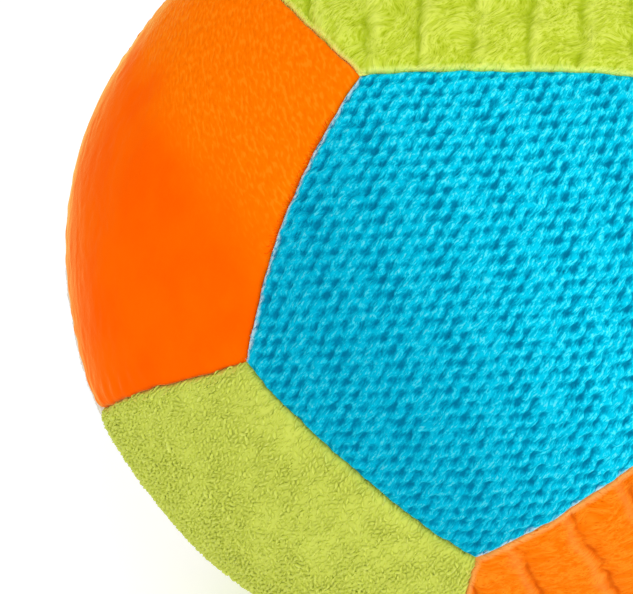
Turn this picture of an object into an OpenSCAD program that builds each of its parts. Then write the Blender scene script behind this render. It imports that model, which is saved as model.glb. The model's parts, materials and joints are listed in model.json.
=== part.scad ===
// Stuffed fabric sensory ball: twelve five-sided panels, a filling and a small rattle.
// Millimetres, +Z up. The ball rests on the flat of its bottom panel, whose middle is the origin.
// The front panel faces -Y.

/* [Ball] */
// Diameter over the corners where three panels meet
ball_d = 150; // [120:5:200]
// How much lower the middle of a panel lies than the corners
face_drop = 1.5; // [0.5:0.25:2.5]
// How much lower the middle of a seam's shoulder lies than its ends
seam_sag = 0.7; // [0.3:0.1:1]
// Depth of the flat that the ball rests on
rest_flat = 0.5; // [0.4:0.1:0.8]

/* [Panels] */
// Thickness of the cloth with its pile
cloth_t = 2.2; // [1.6:0.1:3]
// Width of the rounded shoulder beside a seam
shoulder_w = 3.2; // [3:0.2:5]
// Depth of the stitched line below the shoulders
seam_dip = 2; // [1.6:0.1:2.4]
// Depth of the seam allowance that is turned into the ball
allowance = 7; // [5:0.5:10]
// Clearance from a panel's edge to the middle of its seam
seam_gap = 0.2; // [0.15:0.05:0.3]

/* [Sewing] */
// Thickness of the sewing thread
thread_d = 0.6; // [0.4:0.1:0.7]
// Distance between the stitches that close the turning gap
rung_step = 4; // [3:0.5:6]
// Number of stitches that close the turning gap
rung_count = 7; // [3:1:9]

/* [Filling] */
// Clearance between the filling and what it fills
fill_gap = 0.7; // [0.5:0.1:1]

/* [Rattle] */
// Outer diameter of the rattle's drum
drum_d = 34; // [28:1:44]
// Wall of the drum and thickness of its lid
drum_wall = 1.6; // [1.2:0.1:2]
// Depth of the collar that snaps into the drum
collar_l = 3; // [2:0.5:3.5]
// Radial clearance of the collar in the drum
snap_gap = 0.1; // [0.05:0.05:0.2]
// Diameter of a rattle bead
bead_d = 6; // [4:0.5:6]
// Clearance between the beads, and from them to the drum
bead_gap = 0.4; // [0.3:0.1:0.6]
// Free length beyond the outer beads at each end of the drum
end_room = 0.6; // [0.4:0.2:3]

/* [Hidden] */
$fn = 64;

// Radii of the ball at the corners, the panels' middles, the stitched line and the allowance's tip
corner_r = ball_d / 2;
face_r = corner_r - face_drop;
seam_r = corner_r - seam_dip;
tip_r = seam_r - allowance;
centre_z = face_r - rest_flat;

// A regular twelve-sided solid: the upper and lower ring of panels lean by this angle
ring_lean = atan(1 / 2);
sides = 5;
turn = 360 / sides;
top_axis = [0, 0, 1];
upper_axes = [for (k = [0 : sides - 1]) ring_axis(turn * k - 90, ring_lean)];
lower_axes = [for (k = [0 : sides - 1]) ring_axis(turn * k + turn / 2 - 90, -ring_lean)];

// Where cutting and stuffing left each seam corner, east and north of its regular place,
// as shares of the ball's radius. Each lower corner is its upper one turned through the centre.
top_corner_shares = [[-0.008, -0.020], [0.010, 0.005], [-0.055, 0], [0.015, -0.022], [0.042, 0.008]];
waist_corner_shares = [[-0.018, 0.029], [0.018, 0.077], [-0.022, -0.003], [0.010, 0.010], [0.021, 0.034]];
top_corners = [for (k = [0 : sides - 1])
    moved(unit(top_axis + upper_axes[k] + upper_axes[next(k)]), top_corner_shares[k])];
waist_corners = [for (k = [0 : sides - 1])
    moved(unit(upper_axes[k] + upper_axes[next(k)] + lower_axes[k]), waist_corner_shares[k])];
low_corners = [for (k = [0 : sides - 1]) -waist_corners[(k + 3) % sides]];
bottom_corners = [for (k = [0 : sides - 1]) -top_corners[(k + 3) % sides]];

// Points along one side of a panel, and the rings of its outer crown, as shares from its middle
side_steps = 7;
rest_share = tan(acos(1 - rest_flat / face_r)) / tan((90 - ring_lean) / 2);
crown_shares = [rest_share, 0.5, 0.8, 1];
inner_share = 0.45;
// Place of the shoulder's roundest point: its share of the width and of the dip
round_width_share = 0.35;
round_dip_share = 0.45;

// The thread lies in the groove between two shoulders, clear of both
round_w = shoulder_w * round_width_share;
groove_run = round_w - seam_gap;
groove_rise = seam_dip * (1 - round_dip_share);
groove_slant = norm([groove_run, groove_rise]);
thread_gap = seam_gap / 2;
thread_lift = ((thread_d / 2 + thread_gap) * groove_slant - seam_gap * groove_rise) / groove_run;
thread_end_share = 0.04;
// The ladder stitches cross the groove above the thread
rung_lift = thread_lift + thread_d + thread_gap;
rung_l = 2 * (seam_gap + (rung_lift - thread_d / 2) * groove_run / groove_rise - thread_gap);

// The filling takes the room inside the panels, between their allowances. The panels' inner
// facets sag below their own corners, by the arc from a panel's middle to its inner ring.
corner_lean = atan(3 - sqrt(5));
facet_sag = face_r * (1 - cos(corner_lean * inner_share / 2));
fill_r = face_r - cloth_t - facet_sag - fill_gap;
core_r = tip_r - fill_gap;
slot_inset = seam_gap + cloth_t + fill_gap;

// Inside of the drum, its length with the lid on, and the circle that the beads' middles run on
bead_count = 3;
bead_pitch = bead_d + bead_gap;
drum_r = drum_d / 2;
drum_bore_r = drum_r - drum_wall;
drum_room_l = bead_count * bead_pitch + bead_gap + 2 * end_room;
drum_l = drum_room_l + collar_l + 2 * drum_wall;
bead_orbit_r = drum_bore_r - bead_d / 2 - bead_gap;

function next(k) = (k + 1) % sides;
function prev(k) = (k + sides - 1) % sides;
function unit(v) = v / norm(v);
function mix(a, b, t) = a * (1 - t) + b * t;
function ring_axis(az, el) = [cos(az) * cos(el), sin(az) * cos(el), sin(el)];
// A direction moved east and north over the ball by shares of its radius
function moved(v, shares) =
    let (east = unit(cross(top_axis, v)))
    unit(v + shares[0] * east + shares[1] * cross(v, east));
// The direction a share t of the way along the arc from a to b
function along(a, b, t) =
    let (arc = acos(a * b))
    (sin(arc * (1 - t)) * a + sin(arc * t) * b) / sin(arc);

// The corners of each panel, counter-clockwise as seen from outside
function upper_outline(k) =
    [top_corners[k], top_corners[prev(k)], waist_corners[prev(k)], low_corners[prev(k)], waist_corners[k]];
function lower_outline(k) =
    [waist_corners[k], low_corners[prev(k)], bottom_corners[prev(k)], bottom_corners[k], low_corners[k]];
function bottom_outline() = [for (k = [0 : sides - 1]) bottom_corners[sides - 1 - k]];

// A step into the panel that lies one unit from both seams at corner k
function mitre(outline, k) =
    let (before = unit(cross(outline[prev(k)], outline[k])), after = unit(cross(outline[k], outline[next(k)])))
    (before + after) / (1 + before * after);
// A ring of points beside the seams, a set inset in from them; the sag lowers the middle of each side
function edge_ring(outline, r, inset, sag) =
    [for (k = [0 : sides - 1]) for (i = [0 : side_steps - 1])
        let (t = i / side_steps)
        (r - sag * sin(180 * t)) * along(outline[k], outline[next(k)], t)
            + inset * mix(mitre(outline, k), mitre(outline, next(k)), t)];
// A ring of points over the crown, a share of the way from the middle to the shoulder
function crown_ring(axis, shoulder, share, depth) =
    [for (p = shoulder) (mix(face_r, norm(p), share * share) - depth) * unit(mix(axis, unit(p), share))];
// A point brought out to the flat that the ball rests on
function on_flat(p) = p * centre_z / abs(p[2]);

// A closed skin over a stack of rings with a pole at each end
module skin(first_pole, rings, last_pole) {
    n = len(rings[0]);
    last = len(rings) - 1;
    points = [first_pole, for (ring = rings) each ring, last_pole];
    end = len(points) - 1;
    cap_faces = [for (i = [0 : n - 1]) [0, 1 + (i + 1) % n, 1 + i]];
    wall_faces = [for (j = [0 : last - 1]) for (i = [0 : n - 1])
        let (a = 1 + j * n + i, b = 1 + j * n + (i + 1) % n)
        each [[a, b, b + n], [a, b + n, a + n]]];
    base_faces = [for (i = [0 : n - 1]) [end, 1 + last * n + i, 1 + last * n + (i + 1) % n]];
    polyhedron(points, concat(cap_faces, wall_faces, base_faces), convexity = 6);
}

// One sewn panel: a crowned face, rounded shoulders and the allowance turned in along its seams
module panel(axis, outline, flat = false) {
    shoulder = edge_ring(outline, corner_r, shoulder_w, seam_sag);
    crown = [for (share = crown_shares) crown_ring(axis, shoulder, share, 0)];
    rest_ring = flat ? [for (p = crown[0]) on_flat(p)] : crown[0];
    round_r = corner_r - seam_dip * round_dip_share;
    rings = [rest_ring, crown[1], crown[2], crown[3],
             edge_ring(outline, round_r, round_w, seam_sag * (1 - round_dip_share)),
             edge_ring(outline, seam_r, seam_gap, 0),
             edge_ring(outline, tip_r, seam_gap, 0),
             edge_ring(outline, tip_r, seam_gap + cloth_t, 0),
             edge_ring(outline, corner_r - cloth_t, seam_gap + cloth_t, seam_sag),
             crown_ring(axis, shoulder, inner_share, cloth_t)];
    translate([0, 0, centre_z])
        skin(axis * (flat ? centre_z : face_r), rings, axis * (face_r - cloth_t));
}

module upper_panel(k) {
    panel(upper_axes[k], upper_outline(k));
}

module lower_panel(k) {
    panel(lower_axes[k], lower_outline(k));
}

module lime_rib_panel_top() {
    color([0.80, 0.86, 0.24]) panel(top_axis, top_corners);
}

module lime_rib_panel_bottom() {
    color([0.80, 0.86, 0.24]) panel(-top_axis, bottom_outline(), flat = true);
}

module knit_panel_front() {
    color([0.0, 0.73, 0.84]) upper_panel(0);
}

module knit_panel_back() {
    color([0.0, 0.73, 0.84]) lower_panel(2);
}

module velour_panel_left() {
    color([1.0, 0.42, 0.02]) upper_panel(4);
}

module velour_panel_right() {
    color([1.0, 0.42, 0.02]) lower_panel(1);
}

module terry_panel_low_left() {
    color([0.76, 0.80, 0.31]) lower_panel(4);
}

module terry_panel_high_right() {
    color([0.76, 0.80, 0.31]) upper_panel(2);
}

module orange_rib_panel_low_right() {
    color([1.0, 0.53, 0.12]) lower_panel(0);
}

module orange_rib_panel_high_left() {
    color([1.0, 0.53, 0.12]) upper_panel(3);
}

module plush_panel_right() {
    color([0.94, 0.92, 0.86]) upper_panel(1);
}

module plush_panel_left() {
    color([0.94, 0.92, 0.86]) lower_panel(3);
}

// Turns the X axis to a seam's start and the XY plane to the seam's own plane
module in_seam_plane(a, b) {
    normal = unit(cross(a, b));
    side = cross(normal, a);
    translate([0, 0, centre_z])
        multmatrix([[a[0], side[0], normal[0], 0],
                    [a[1], side[1], normal[1], 0],
                    [a[2], side[2], normal[2], 0],
                    [0, 0, 0, 1]])
            children();
}

module thread_arc(a, b) {
    arc = acos(a * b);
    in_seam_plane(a, b)
        rotate([0, 0, arc * thread_end_share])
            rotate_extrude(angle = arc * (1 - 2 * thread_end_share))
                translate([seam_r + thread_lift, 0])
                    circle(d = thread_d, $fn = 24);
}

// The machine-sewn line at the bottom of the groove of each of the thirty seams
module seam_thread() {
    color([0.10, 0.42, 0.45])
        for (k = [0 : sides - 1]) {
            thread_arc(top_corners[k], top_corners[next(k)]);
            thread_arc(top_corners[k], waist_corners[k]);
            thread_arc(waist_corners[k], low_corners[k]);
            thread_arc(waist_corners[k], low_corners[prev(k)]);
            thread_arc(low_corners[k], bottom_corners[k]);
            thread_arc(bottom_corners[k], bottom_corners[next(k)]);
        }
}

// Ladder stitches across one seam low at the back, where the ball was turned, filled and closed
module closing_stitch() {
    a = bottom_corners[1];
    b = bottom_corners[2];
    step = rung_step / seam_r * 180 / PI;
    first = (acos(a * b) - step * (rung_count - 1)) / 2;
    color([0.82, 0.86, 0.35])
        in_seam_plane(a, b)
            for (i = [0 : rung_count - 1])
                rotate([0, 0, first + step * i])
                    translate([seam_r + rung_lift, 0, -rung_l / 2])
                        cylinder(h = rung_l, d = thread_d, $fn = 24);
}

// The block of stuffing that reaches up into one panel between its allowances
module pocket_block(axis, outline) {
    inner = edge_ring(outline, core_r - slot_inset, slot_inset, 0);
    outer = edge_ring(outline, corner_r, slot_inset, 0);
    skin(axis * corner_r, [[for (k = [0 : sides - 1]) outer[k * side_steps]],
                           [for (k = [0 : sides - 1]) inner[k * side_steps]]],
         axis * (core_r - slot_inset));
}

module stuffing() {
    sphere(r = core_r, $fn = 96);
    intersection() {
        sphere(r = fill_r, $fn = 96);
        union() {
            pocket_block(top_axis, top_corners);
            pocket_block(-top_axis, bottom_outline());
            for (k = [0 : sides - 1]) {
                pocket_block(upper_axes[k], upper_outline(k));
                pocket_block(lower_axes[k], lower_outline(k));
            }
        }
    }
}

module drum_pocket() {
    rotate([0, 90, 0]) cylinder(h = drum_l + 2 * fill_gap, r = drum_r + fill_gap, center = true);
}

// One of the two wads of fibre that close round the rattle; side is 1 for the upper one
module wad(side) {
    difference() {
        stuffing();
        drum_pocket();
        translate([-ball_d, -ball_d, side > 0 ? -2 * ball_d : 0]) cube(2 * ball_d);
    }
}

module filling_lower() {
    color([0.96, 0.96, 0.94]) translate([0, 0, centre_z]) wad(-1);
}

module filling_upper() {
    color([0.96, 0.96, 0.94]) translate([0, 0, centre_z]) wad(1);
}

// Turns a profile about the drum's own axis, which runs along X through the ball's middle
module along_drum() {
    translate([-drum_l / 2, 0, centre_z]) rotate([0, 90, 0]) rotate_extrude() children();
}

module rattle_cup() {
    color([0.92, 0.92, 0.90])
        along_drum()
            polygon([[0, 0], [drum_r, 0], [drum_r, drum_l - drum_wall],
                     [drum_bore_r, drum_l - drum_wall], [drum_bore_r, drum_wall], [0, drum_wall]]);
}

module rattle_lid() {
    collar_r = drum_bore_r - snap_gap;
    rim = drum_l - drum_wall;
    color([0.25, 0.62, 0.85])
        along_drum()
            polygon([[0, rim], [collar_r - drum_wall, rim], [collar_r - drum_wall, rim - collar_l],
                     [collar_r, rim - collar_l], [collar_r, rim], [drum_r, rim], [drum_r, drum_l], [0, drum_l]]);
}

// A bead lying at the bottom of the drum, in its own track along the drum's length
module bead(i) {
    first_x = drum_wall + end_room + bead_gap + bead_d / 2 - drum_l / 2;
    color([0.93, 0.30, 0.25])
        translate([first_x + (i - 1) * bead_pitch, 0, centre_z - bead_orbit_r])
            sphere(d = bead_d);
}

module rattle_bead_1() {
    bead(1);
}

module rattle_bead_2() {
    bead(2);
}

module rattle_bead_3() {
    bead(3);
}

lime_rib_panel_top();
lime_rib_panel_bottom();
knit_panel_front();
knit_panel_back();
velour_panel_left();
velour_panel_right();
terry_panel_low_left();
terry_panel_high_right();
orange_rib_panel_low_right();
orange_rib_panel_high_left();
plush_panel_right();
plush_panel_left();
seam_thread();
closing_stitch();
filling_lower();
filling_upper();
rattle_cup();
rattle_lid();
rattle_bead_1();
rattle_bead_2();
rattle_bead_3();
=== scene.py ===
"""Dresses the sensory ball: twelve cloth panels with their knit, loops, ribs and pile, the seams and the stage.

Lengths are in metres and the frame is the packed model's: +Z up, the front panel towards -Y.
"""

import itertools
import json
import math

import bmesh
import bpy
import numpy as np
from bpy.props import FloatProperty, FloatVectorProperty, PointerProperty
from mathutils import Matrix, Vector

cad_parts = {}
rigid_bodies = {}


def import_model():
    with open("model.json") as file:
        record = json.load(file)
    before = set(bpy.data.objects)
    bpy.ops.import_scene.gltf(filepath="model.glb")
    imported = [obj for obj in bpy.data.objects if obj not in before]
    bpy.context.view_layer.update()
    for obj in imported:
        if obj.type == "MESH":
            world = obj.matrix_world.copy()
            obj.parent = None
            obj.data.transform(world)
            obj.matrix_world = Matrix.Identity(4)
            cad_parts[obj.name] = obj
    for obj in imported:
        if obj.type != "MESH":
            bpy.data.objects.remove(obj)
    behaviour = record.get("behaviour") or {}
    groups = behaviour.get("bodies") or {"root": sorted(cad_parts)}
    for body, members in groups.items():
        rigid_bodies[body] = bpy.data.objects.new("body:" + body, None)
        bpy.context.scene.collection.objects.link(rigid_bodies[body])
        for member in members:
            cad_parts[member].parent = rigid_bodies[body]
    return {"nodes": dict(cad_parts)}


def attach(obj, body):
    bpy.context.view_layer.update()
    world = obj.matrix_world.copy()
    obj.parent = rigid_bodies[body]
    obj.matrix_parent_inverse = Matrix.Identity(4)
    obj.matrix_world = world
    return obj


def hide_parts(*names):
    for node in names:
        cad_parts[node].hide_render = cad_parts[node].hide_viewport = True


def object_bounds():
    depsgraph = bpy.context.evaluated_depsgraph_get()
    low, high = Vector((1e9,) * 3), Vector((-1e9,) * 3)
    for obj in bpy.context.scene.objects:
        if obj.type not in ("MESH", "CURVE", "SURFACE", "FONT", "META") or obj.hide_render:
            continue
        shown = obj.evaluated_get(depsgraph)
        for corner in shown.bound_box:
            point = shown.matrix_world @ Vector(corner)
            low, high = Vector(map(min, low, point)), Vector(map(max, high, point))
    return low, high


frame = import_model()

bl_info = {
    "name": "Sensory Ball",
    "version": (1, 0, 0),
    "blender": (4, 5, 0),
    "location": "View3D > Sidebar > Sensory Ball",
    "description": "Builds a stuffed ball of knit, velour, terry and ribbed plush panels",
    "category": "Add Mesh",
}

MM = 0.001
BODY = "ball"
SIDES = 5
CAD_BOX = [list(corner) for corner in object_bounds()]
PHOTO_WIDTH = 633
SEED = 20
UP = np.array([0.0, 0.0, 1.0])

# The ball's radius over its panels' middles and the place of its centre, from the frame's own box
REST_FLAT = 0.5 * MM
FACE_RADIUS = (CAD_BOX[1][2] - CAD_BOX[0][2] + REST_FLAT) / 2
CENTRE = UP * (CAD_BOX[1][2] - FACE_RADIUS)

WHITE = (1.0, 1.0, 1.0)

# The turn between the rows of a lattice whose points have six equal neighbours
HEX_TURN = math.radians(60)

# How far from a seam the texture of a cloth reaches its full height
TEXTURE_MARGIN = 1.2 * MM

# Where sewing pulled the seams off their arcs: azimuth, elevation, millimetres east and north. Each pull and each
# swell fades over the same share of the radius.
SEWN_SHIFTS = [
    (-122.0, 53.0, 0.46, 0.68), (-124.8, 12.8, 0.20, -1.02), (-91.3, -10.6, 0.22, -1.53),
    (-54.7, 51.5, 0.78, 1.37), (-55.1, 12.5, 0.32, -0.53), (-160.9, -15.2, 0.27, -0.37),
    (-87.7, 57.2, -0.02, -0.34), (-123.7, 32.9, -1.33, 0.07), (-160.1, 58.3, 0.02, -1.0),
    (-142.8, -1.3, -0.27, 0.7), (-92.8, -31.6, -0.30, 0.02), (-141.0, 56.5, 0.0, -0.65), (-70.0, 2.5, 0.0, -0.6),
]
FADE_SHARE = 0.2

# Where the filling swells the cloth or leaves it slack: azimuth, elevation, millimetres outward
SWELLS = [(171.0, 5.0, 1.0), (-163.5, -31.0, -1.2), (154.0, 30.0, -0.5)]

# What repeats in the knit, from the middle of a gap: millimetres east and north, half length and half width,
# direction, and height as a share of the rise. Gaps and hollows have a height below zero.
KNIT_FORMS = [
    (0.0, 0.0, 1.7, 0.52, 63.0, -0.68), (0.72, -0.48, 1.26, 0.41, 27.0, -0.4), (-0.79, -0.74, 1.03, 0.88, 17.0, -0.8),
    (0.54, 1.87, 0.85, 0.51, 78.0, -0.41), (-0.9, -1.27, 1.7, 0.71, 28.0, 0.63), (1.34, 2.22, 1.24, 0.77, -89.0, -0.63),
]


def linear(red, green, blue):
    """A screen colour, 0 to 255, as the linear colour that Blender mixes."""
    shares = [part / 255 for part in (red, green, blue)]
    return tuple(s / 12.92 if s < 0.04045 else ((s + 0.055) / 1.055) ** 2.4 for s in shares)


def length(name, default, description, low=-1.0, high=1.0):
    """A size that the panel shows, with its default in millimetres."""
    return FloatProperty(
        name=name, default=default * MM, min=low, max=high, subtype="DISTANCE", unit="LENGTH", precision=5,
        description=description)


def colour(name, default, description):
    """A colour that the panel shows, with its default as a screen colour."""
    return FloatVectorProperty(
        name=name, default=linear(*default), size=3, min=0.0, max=1.0, subtype="COLOR", description=description)


def degrees(name, default, description):
    """An angle that the panel shows."""
    return FloatProperty(
        name=name, default=math.radians(default), subtype="ANGLE", unit="ROTATION", description=description)


def number(name, default, high, description, subtype="NONE"):
    """A plain number that the panel shows."""
    return FloatProperty(name=name, default=default, min=0.0, max=high, subtype=subtype, description=description)


class BallShape(bpy.types.PropertyGroup):
    """Sizes of the stuffed ball and its seams."""

    face_drop: length("Face drop", 1.5, "How much lower a panel's middle lies than its corners")
    seam_sag: length("Seam sag", 0.7, "How much lower the middle of a seam lies than its ends")
    shoulder: length("Shoulder", 2.8, "Width of the rounded shoulder beside a seam")
    seam_dip: length("Seam dip", 1.5, "Depth of the stitched line below the shoulders")
    seam_gap: length("Seam gap", 0.015, "Clearance from a panel's edge to the middle of its seam")
    cloth: length("Cloth", 2.2, "Thickness of the cloth")
    allowance: length("Allowance", 7.0, "Depth of the seam allowance that is turned in")
    lump: length("Lumps", 0.35, "Height of the uneven stuffing under the cloth")
    lump_size: length("Lump size", 17.0, "Distance from one lump of stuffing to the next")
    wander: length("Wander", 0.22, "How far a seam strays from its line between stitches")
    pucker: length("Puckers", 0.08, "Depth of the small puckers that the stitches pull beside a seam")


class KnitCloth(bpy.types.PropertyGroup):
    """Chunky knit: slanted stitches of combed yarn with hollows between them, and the fuzz of its cut edge."""

    column: length("Column", 2.63, "Distance between stitches along a row")
    row: length("Row", 2.67, "Distance from a stitch to the one below it")
    row_turn: degrees("Row turn", 4.7, "Rise of the rows to the right")
    stagger: degrees("Stagger", -58.8, "Direction from a stitch to the one below it")
    slant: degrees("Slant", 54.0, "Slant of the yarn's strands")
    rise: length("Rise", 1.0, "Height of the stitches")
    strand: length("Strand", 0.34, "Height of the yarn's strands over the creases between them")
    # pale is partly paler yarn and partly a painted glint, light a painted highlight on the crowns, and dark painted
    # shade in the hollows and creases and towards the knit's left and bottom
    pale: colour("Pale", (120, 234, 250), "The palest strands")
    fuzz: colour("Fuzz", (196, 222, 230), "Fuzz of the cut edge")
    light: colour("Light", (36, 233, 255), "Crowns of the stitches")
    base: colour("Base", (0, 206, 236), "Body of the stitches")
    dark: colour("Dark", (0, 132, 168), "Cloth in the hollows between the stitches")


class TerryCloth(bpy.types.PropertyGroup):
    """Terry cloth: small standing loops of yarn."""

    column: length("Column", 1.3, "Distance between loops along a row")
    row: length("Row", 0.92, "Distance between rows of loops")
    row_turn: degrees("Row turn", 60.0, "Direction of the rows and of the loops")
    height: length("Height", 0.34, "Height of a loop")
    spread: length("Spread", 0.5, "Half the width of a loop")
    thick: length("Thick", 0.27, "Radius of the yarn")
    # light is a painted highlight on the loops' tops, and dark painted shade on the low ground cloth and at the loops'
    # roots
    light: colour("Light", (225, 232, 124), "Tops of the loops")
    base: colour("Base", (206, 216, 96), "Sides of the loops")
    dark: colour("Dark", (199, 208, 81), "Ground cloth between the loops")


def rib_cloth(name, summary, pitch, shift, width, turn, comb, curls, pale, light, base, dark):
    """The group of sizes and colours of one ribbed plush: flat ribs of combed pile with grooves between them."""
    return type(name, (bpy.types.PropertyGroup,), {"__doc__": summary, "__annotations__": {
        "pitch": length("Pitch", pitch, "Distance between the grooves"),
        "shift": length("Shift", shift, "Distance from the panel's middle to a groove"),
        "width": length("Width", width, "Half the width of a groove"),
        "groove": length("Groove", 0.42, "Depth of a groove"),
        "dome": length("Dome", 0.4, "How much lower the sides of a rib lie than its middle"),
        "crease": length("Crease", 0.5, "Height of the locks where the pile is wholly combed"),
        "strand": length("Strand", 0.6, "Width of a lock of the pile"),
        "turn": degrees("Turn", turn, "Direction of the grooves"),
        "comb": degrees("Comb", comb, "Direction of the pile over its ribs"),
        "curls": number("Curls", curls, 1.0, "How far the pile is combed into locks", "FACTOR"),
        # pale is the fringe along the seams and a painted highlight on each crest; light a painted highlight on the
        # highest pile; dark painted shade in and beside the grooves and where the pile lies low
        "pale": colour("Pale", pale, "Fringe along the seams"),
        "light": colour("Light", light, "Tips of the pile"),
        "base": colour("Base", base, "Body of the pile"),
        "dark": colour("Dark", dark, "Pile in the grooves"),
    }})


LimeRibs = rib_cloth(
    "LimeRibs", "Lime ribbed plush.", pitch=9.4, shift=2.5, width=0.5, turn=-93.5, comb=45.0, curls=0.7,
    pale=(242, 249, 128), light=(218, 230, 92), base=(193, 209, 54), dark=(164, 184, 16))
OrangeRibs = rib_cloth(
    "OrangeRibs", "Orange ribbed plush.", pitch=11.1, shift=2.0, width=0.45, turn=-58.0, comb=-10.0, curls=0.3,
    pale=(255, 166, 84), light=(253, 137, 26), base=(246, 115, 2), dark=(206, 84, 0))


class PileCloth(bpy.types.PropertyGroup):
    """The smooth velour and the short pale plush."""

    fringe: length("Fringe", 0.7, "Width of the rougher nap beside a seam")
    nap: length("Nap", 0.7, "Length of the nap beside a seam")
    brushed: degrees("Brushed", 159.0, "Direction of the streaks in the velour's nap")
    pile: length("Pile", 1.2, "Length of the plush's pile")
    tuft: length("Tuft", 0.95, "Distance between tufts of plush")
    # velour_painted_light is painted light on the velour's upper part and on the tips of its nap; velour_dark is random
    # darker patches and painted shade low in the nap; the pale streaks and the shade between them show only in the
    # painted light, partly the nap's own streaks and partly painted sheen
    velour_painted_light: colour("Velour light", (255, 118, 0), "Velour brushed towards the light")
    velour_pale: colour("Velour pale", (255, 142, 22), "Palest streaks of the velour")
    velour: colour("Velour", (255, 98, 0), "Body of the velour")
    velour_dark: colour("Velour dark", (254, 90, 0), "Velour brushed away from the light")
    velour_shade: colour("Velour shade", (232, 102, 0), "Between the pale streaks of the velour")
    # plush_light is a painted highlight on the pile's tips, and plush_dark painted shade on the low ground cloth and at
    # the pile's roots
    plush_light: colour("Plush light", (250, 248, 240), "Tips of the pale plush")
    plush: colour("Plush", (240, 234, 222), "Body of the pale plush")
    plush_dark: colour("Plush dark", (206, 196, 178), "Ground cloth of the pale plush")


class SewingShape(bpy.types.PropertyGroup):
    """The sewing thread and what lies inside."""

    step: length("Step", 1.7, "Distance from one machine stitch to the next")
    stitch: length("Stitch", 1.1, "Length of a machine stitch")
    thick: length("Thick", 0.14, "Radius of the thread")
    lift: length("Lift", -1.0, "Height of the thread over the bottom of the seam")
    end_share: number("Ends", 0.04, 0.4, "Share of a seam that is free of thread at each end", "FACTOR")
    teal: colour("Teal", (30, 84, 88), "Thread of the machine seams")
    lime: colour("Lime", (205, 214, 96), "Thread of the closing stitches")
    fibre: colour("Fibre", (244, 244, 240), "Loose stuffing")
    shell: colour("Shell", (232, 230, 218), "Cup of the rattle")
    lid: colour("Lid", (58, 150, 210), "Lid of the rattle")
    bead: colour("Bead", (226, 66, 52), "Beads of the rattle")


class StageShape(bpy.types.PropertyGroup):
    """Where the camera stands and how the stage is lit."""

    distance: length("Distance", 600.0, "From the camera to the ball's centre", 0.1, 5.0)
    azimuth: degrees("Azimuth", -5.14, "Camera's turn round the ball")
    elevation: degrees("Elevation", 31.8, "Camera's height over the horizon")
    roll: degrees("Roll", 3.86, "Camera's tilt about its line of sight")
    aim_across: degrees("Aim across", -2.673, "How far to the side of the ball the camera looks")
    aim_up: degrees("Aim up", -0.69, "How far above the ball the camera looks")
    focal_pixels: number("Focal length", 3201.9, 9000.0, "Focal length in pixels of the photograph")
    sky: number("Sky", 0.8, 5.0, "Strength of the light from all round")
    key: number("Key", 2.8, 50.0, "Power of the window-like key light")
    fill: number("Fill", 0.7, 50.0, "Power of the fill light")


def scene():
    """The scene, which holds the sizes and the pieces."""
    return bpy.context.scene


def linked(name, data):
    """A new object in the scene."""
    made = bpy.data.objects.new(name, data)
    scene().collection.objects.link(made)
    return made


def unit(v):
    """v made one long, or each row of v."""
    return v / np.linalg.norm(v, axis=-1, keepdims=True)


def ring_axis(azimuth, elevation):
    """The direction at an azimuth and elevation in degrees."""
    a, e = math.radians(azimuth), math.radians(elevation)
    return np.array([math.cos(a) * math.cos(e), math.sin(a) * math.cos(e), math.sin(e)])


def aside(v, east, north):
    """The step over the ball from a direction by so much east and north."""
    right = unit(np.cross(UP, v))
    return east * right + north * np.cross(v, right)


def turned(distance, angle):
    """A step over the cloth, east and north, of this length and direction."""
    return distance * math.cos(angle), distance * math.sin(angle)


def laid(u, v, angle):
    """How far places lie along a direction over the cloth, and how far to its left."""
    return u * math.cos(angle) + v * math.sin(angle), v * math.cos(angle) - u * math.sin(angle)


def lattice_noise(points, size, seed):
    """Smooth noise from -1 to 1 at points, with lumps of this size."""
    q = points / size + 31.7 * (seed + 1)
    cell = np.floor(q).astype(np.int64)
    f = q - cell
    f = f * f * (3 - 2 * f)
    total = np.zeros(len(points))
    for corner in itertools.product((0, 1), repeat=3):
        c = cell + corner
        h = (c[:, 0] * 73856093) ^ (c[:, 1] * 19349663) ^ (c[:, 2] * 83492791) ^ (seed * 265443576)
        h = ((h ^ (h >> 13)) * 1274126177) & 0x7FFFFFFF
        value = (h ^ (h >> 16)) / 0x3FFFFFFF - 1
        total += np.prod(np.where(corner, f, 1 - f), axis=1) * value
    return total


def uneven(place, *layers):
    """Soft unevenness, from layers that each have a height and a lump size in millimetres and a seed."""
    return sum(height * MM * lattice_noise(place, size * MM, SEED + seed) for height, size, seed in layers)


def nearness(d, middle):
    """How near each direction is to a middle one, from 0 to 1."""
    return np.exp(-np.sum((d - middle) ** 2, axis=1) / (2 * FADE_SHARE ** 2))[:, None]


def settled(p):
    """Places about the ball's centre, moved as sewing and filling pull the cloth, in the frame's own place."""
    d = unit(p)
    shift = np.zeros_like(p)
    for azimuth, elevation, east, north in SEWN_SHIFTS:
        middle = ring_axis(azimuth, elevation)
        shift += nearness(d, middle) * aside(middle, east, north) * MM
    for axis in range(3):
        wave = lattice_noise(FACE_RADIUS * d, 2.6 * MM, SEED + 20 + axis)
        shift[:, axis] += scene().ball_shape.wander * wave
    far = np.linalg.norm(p, axis=1, keepdims=True)
    for azimuth, elevation, outward in SWELLS:
        far += outward * MM * nearness(d, ring_axis(azimuth, elevation))
    return unit(p + shift) * far + CENTRE


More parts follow.
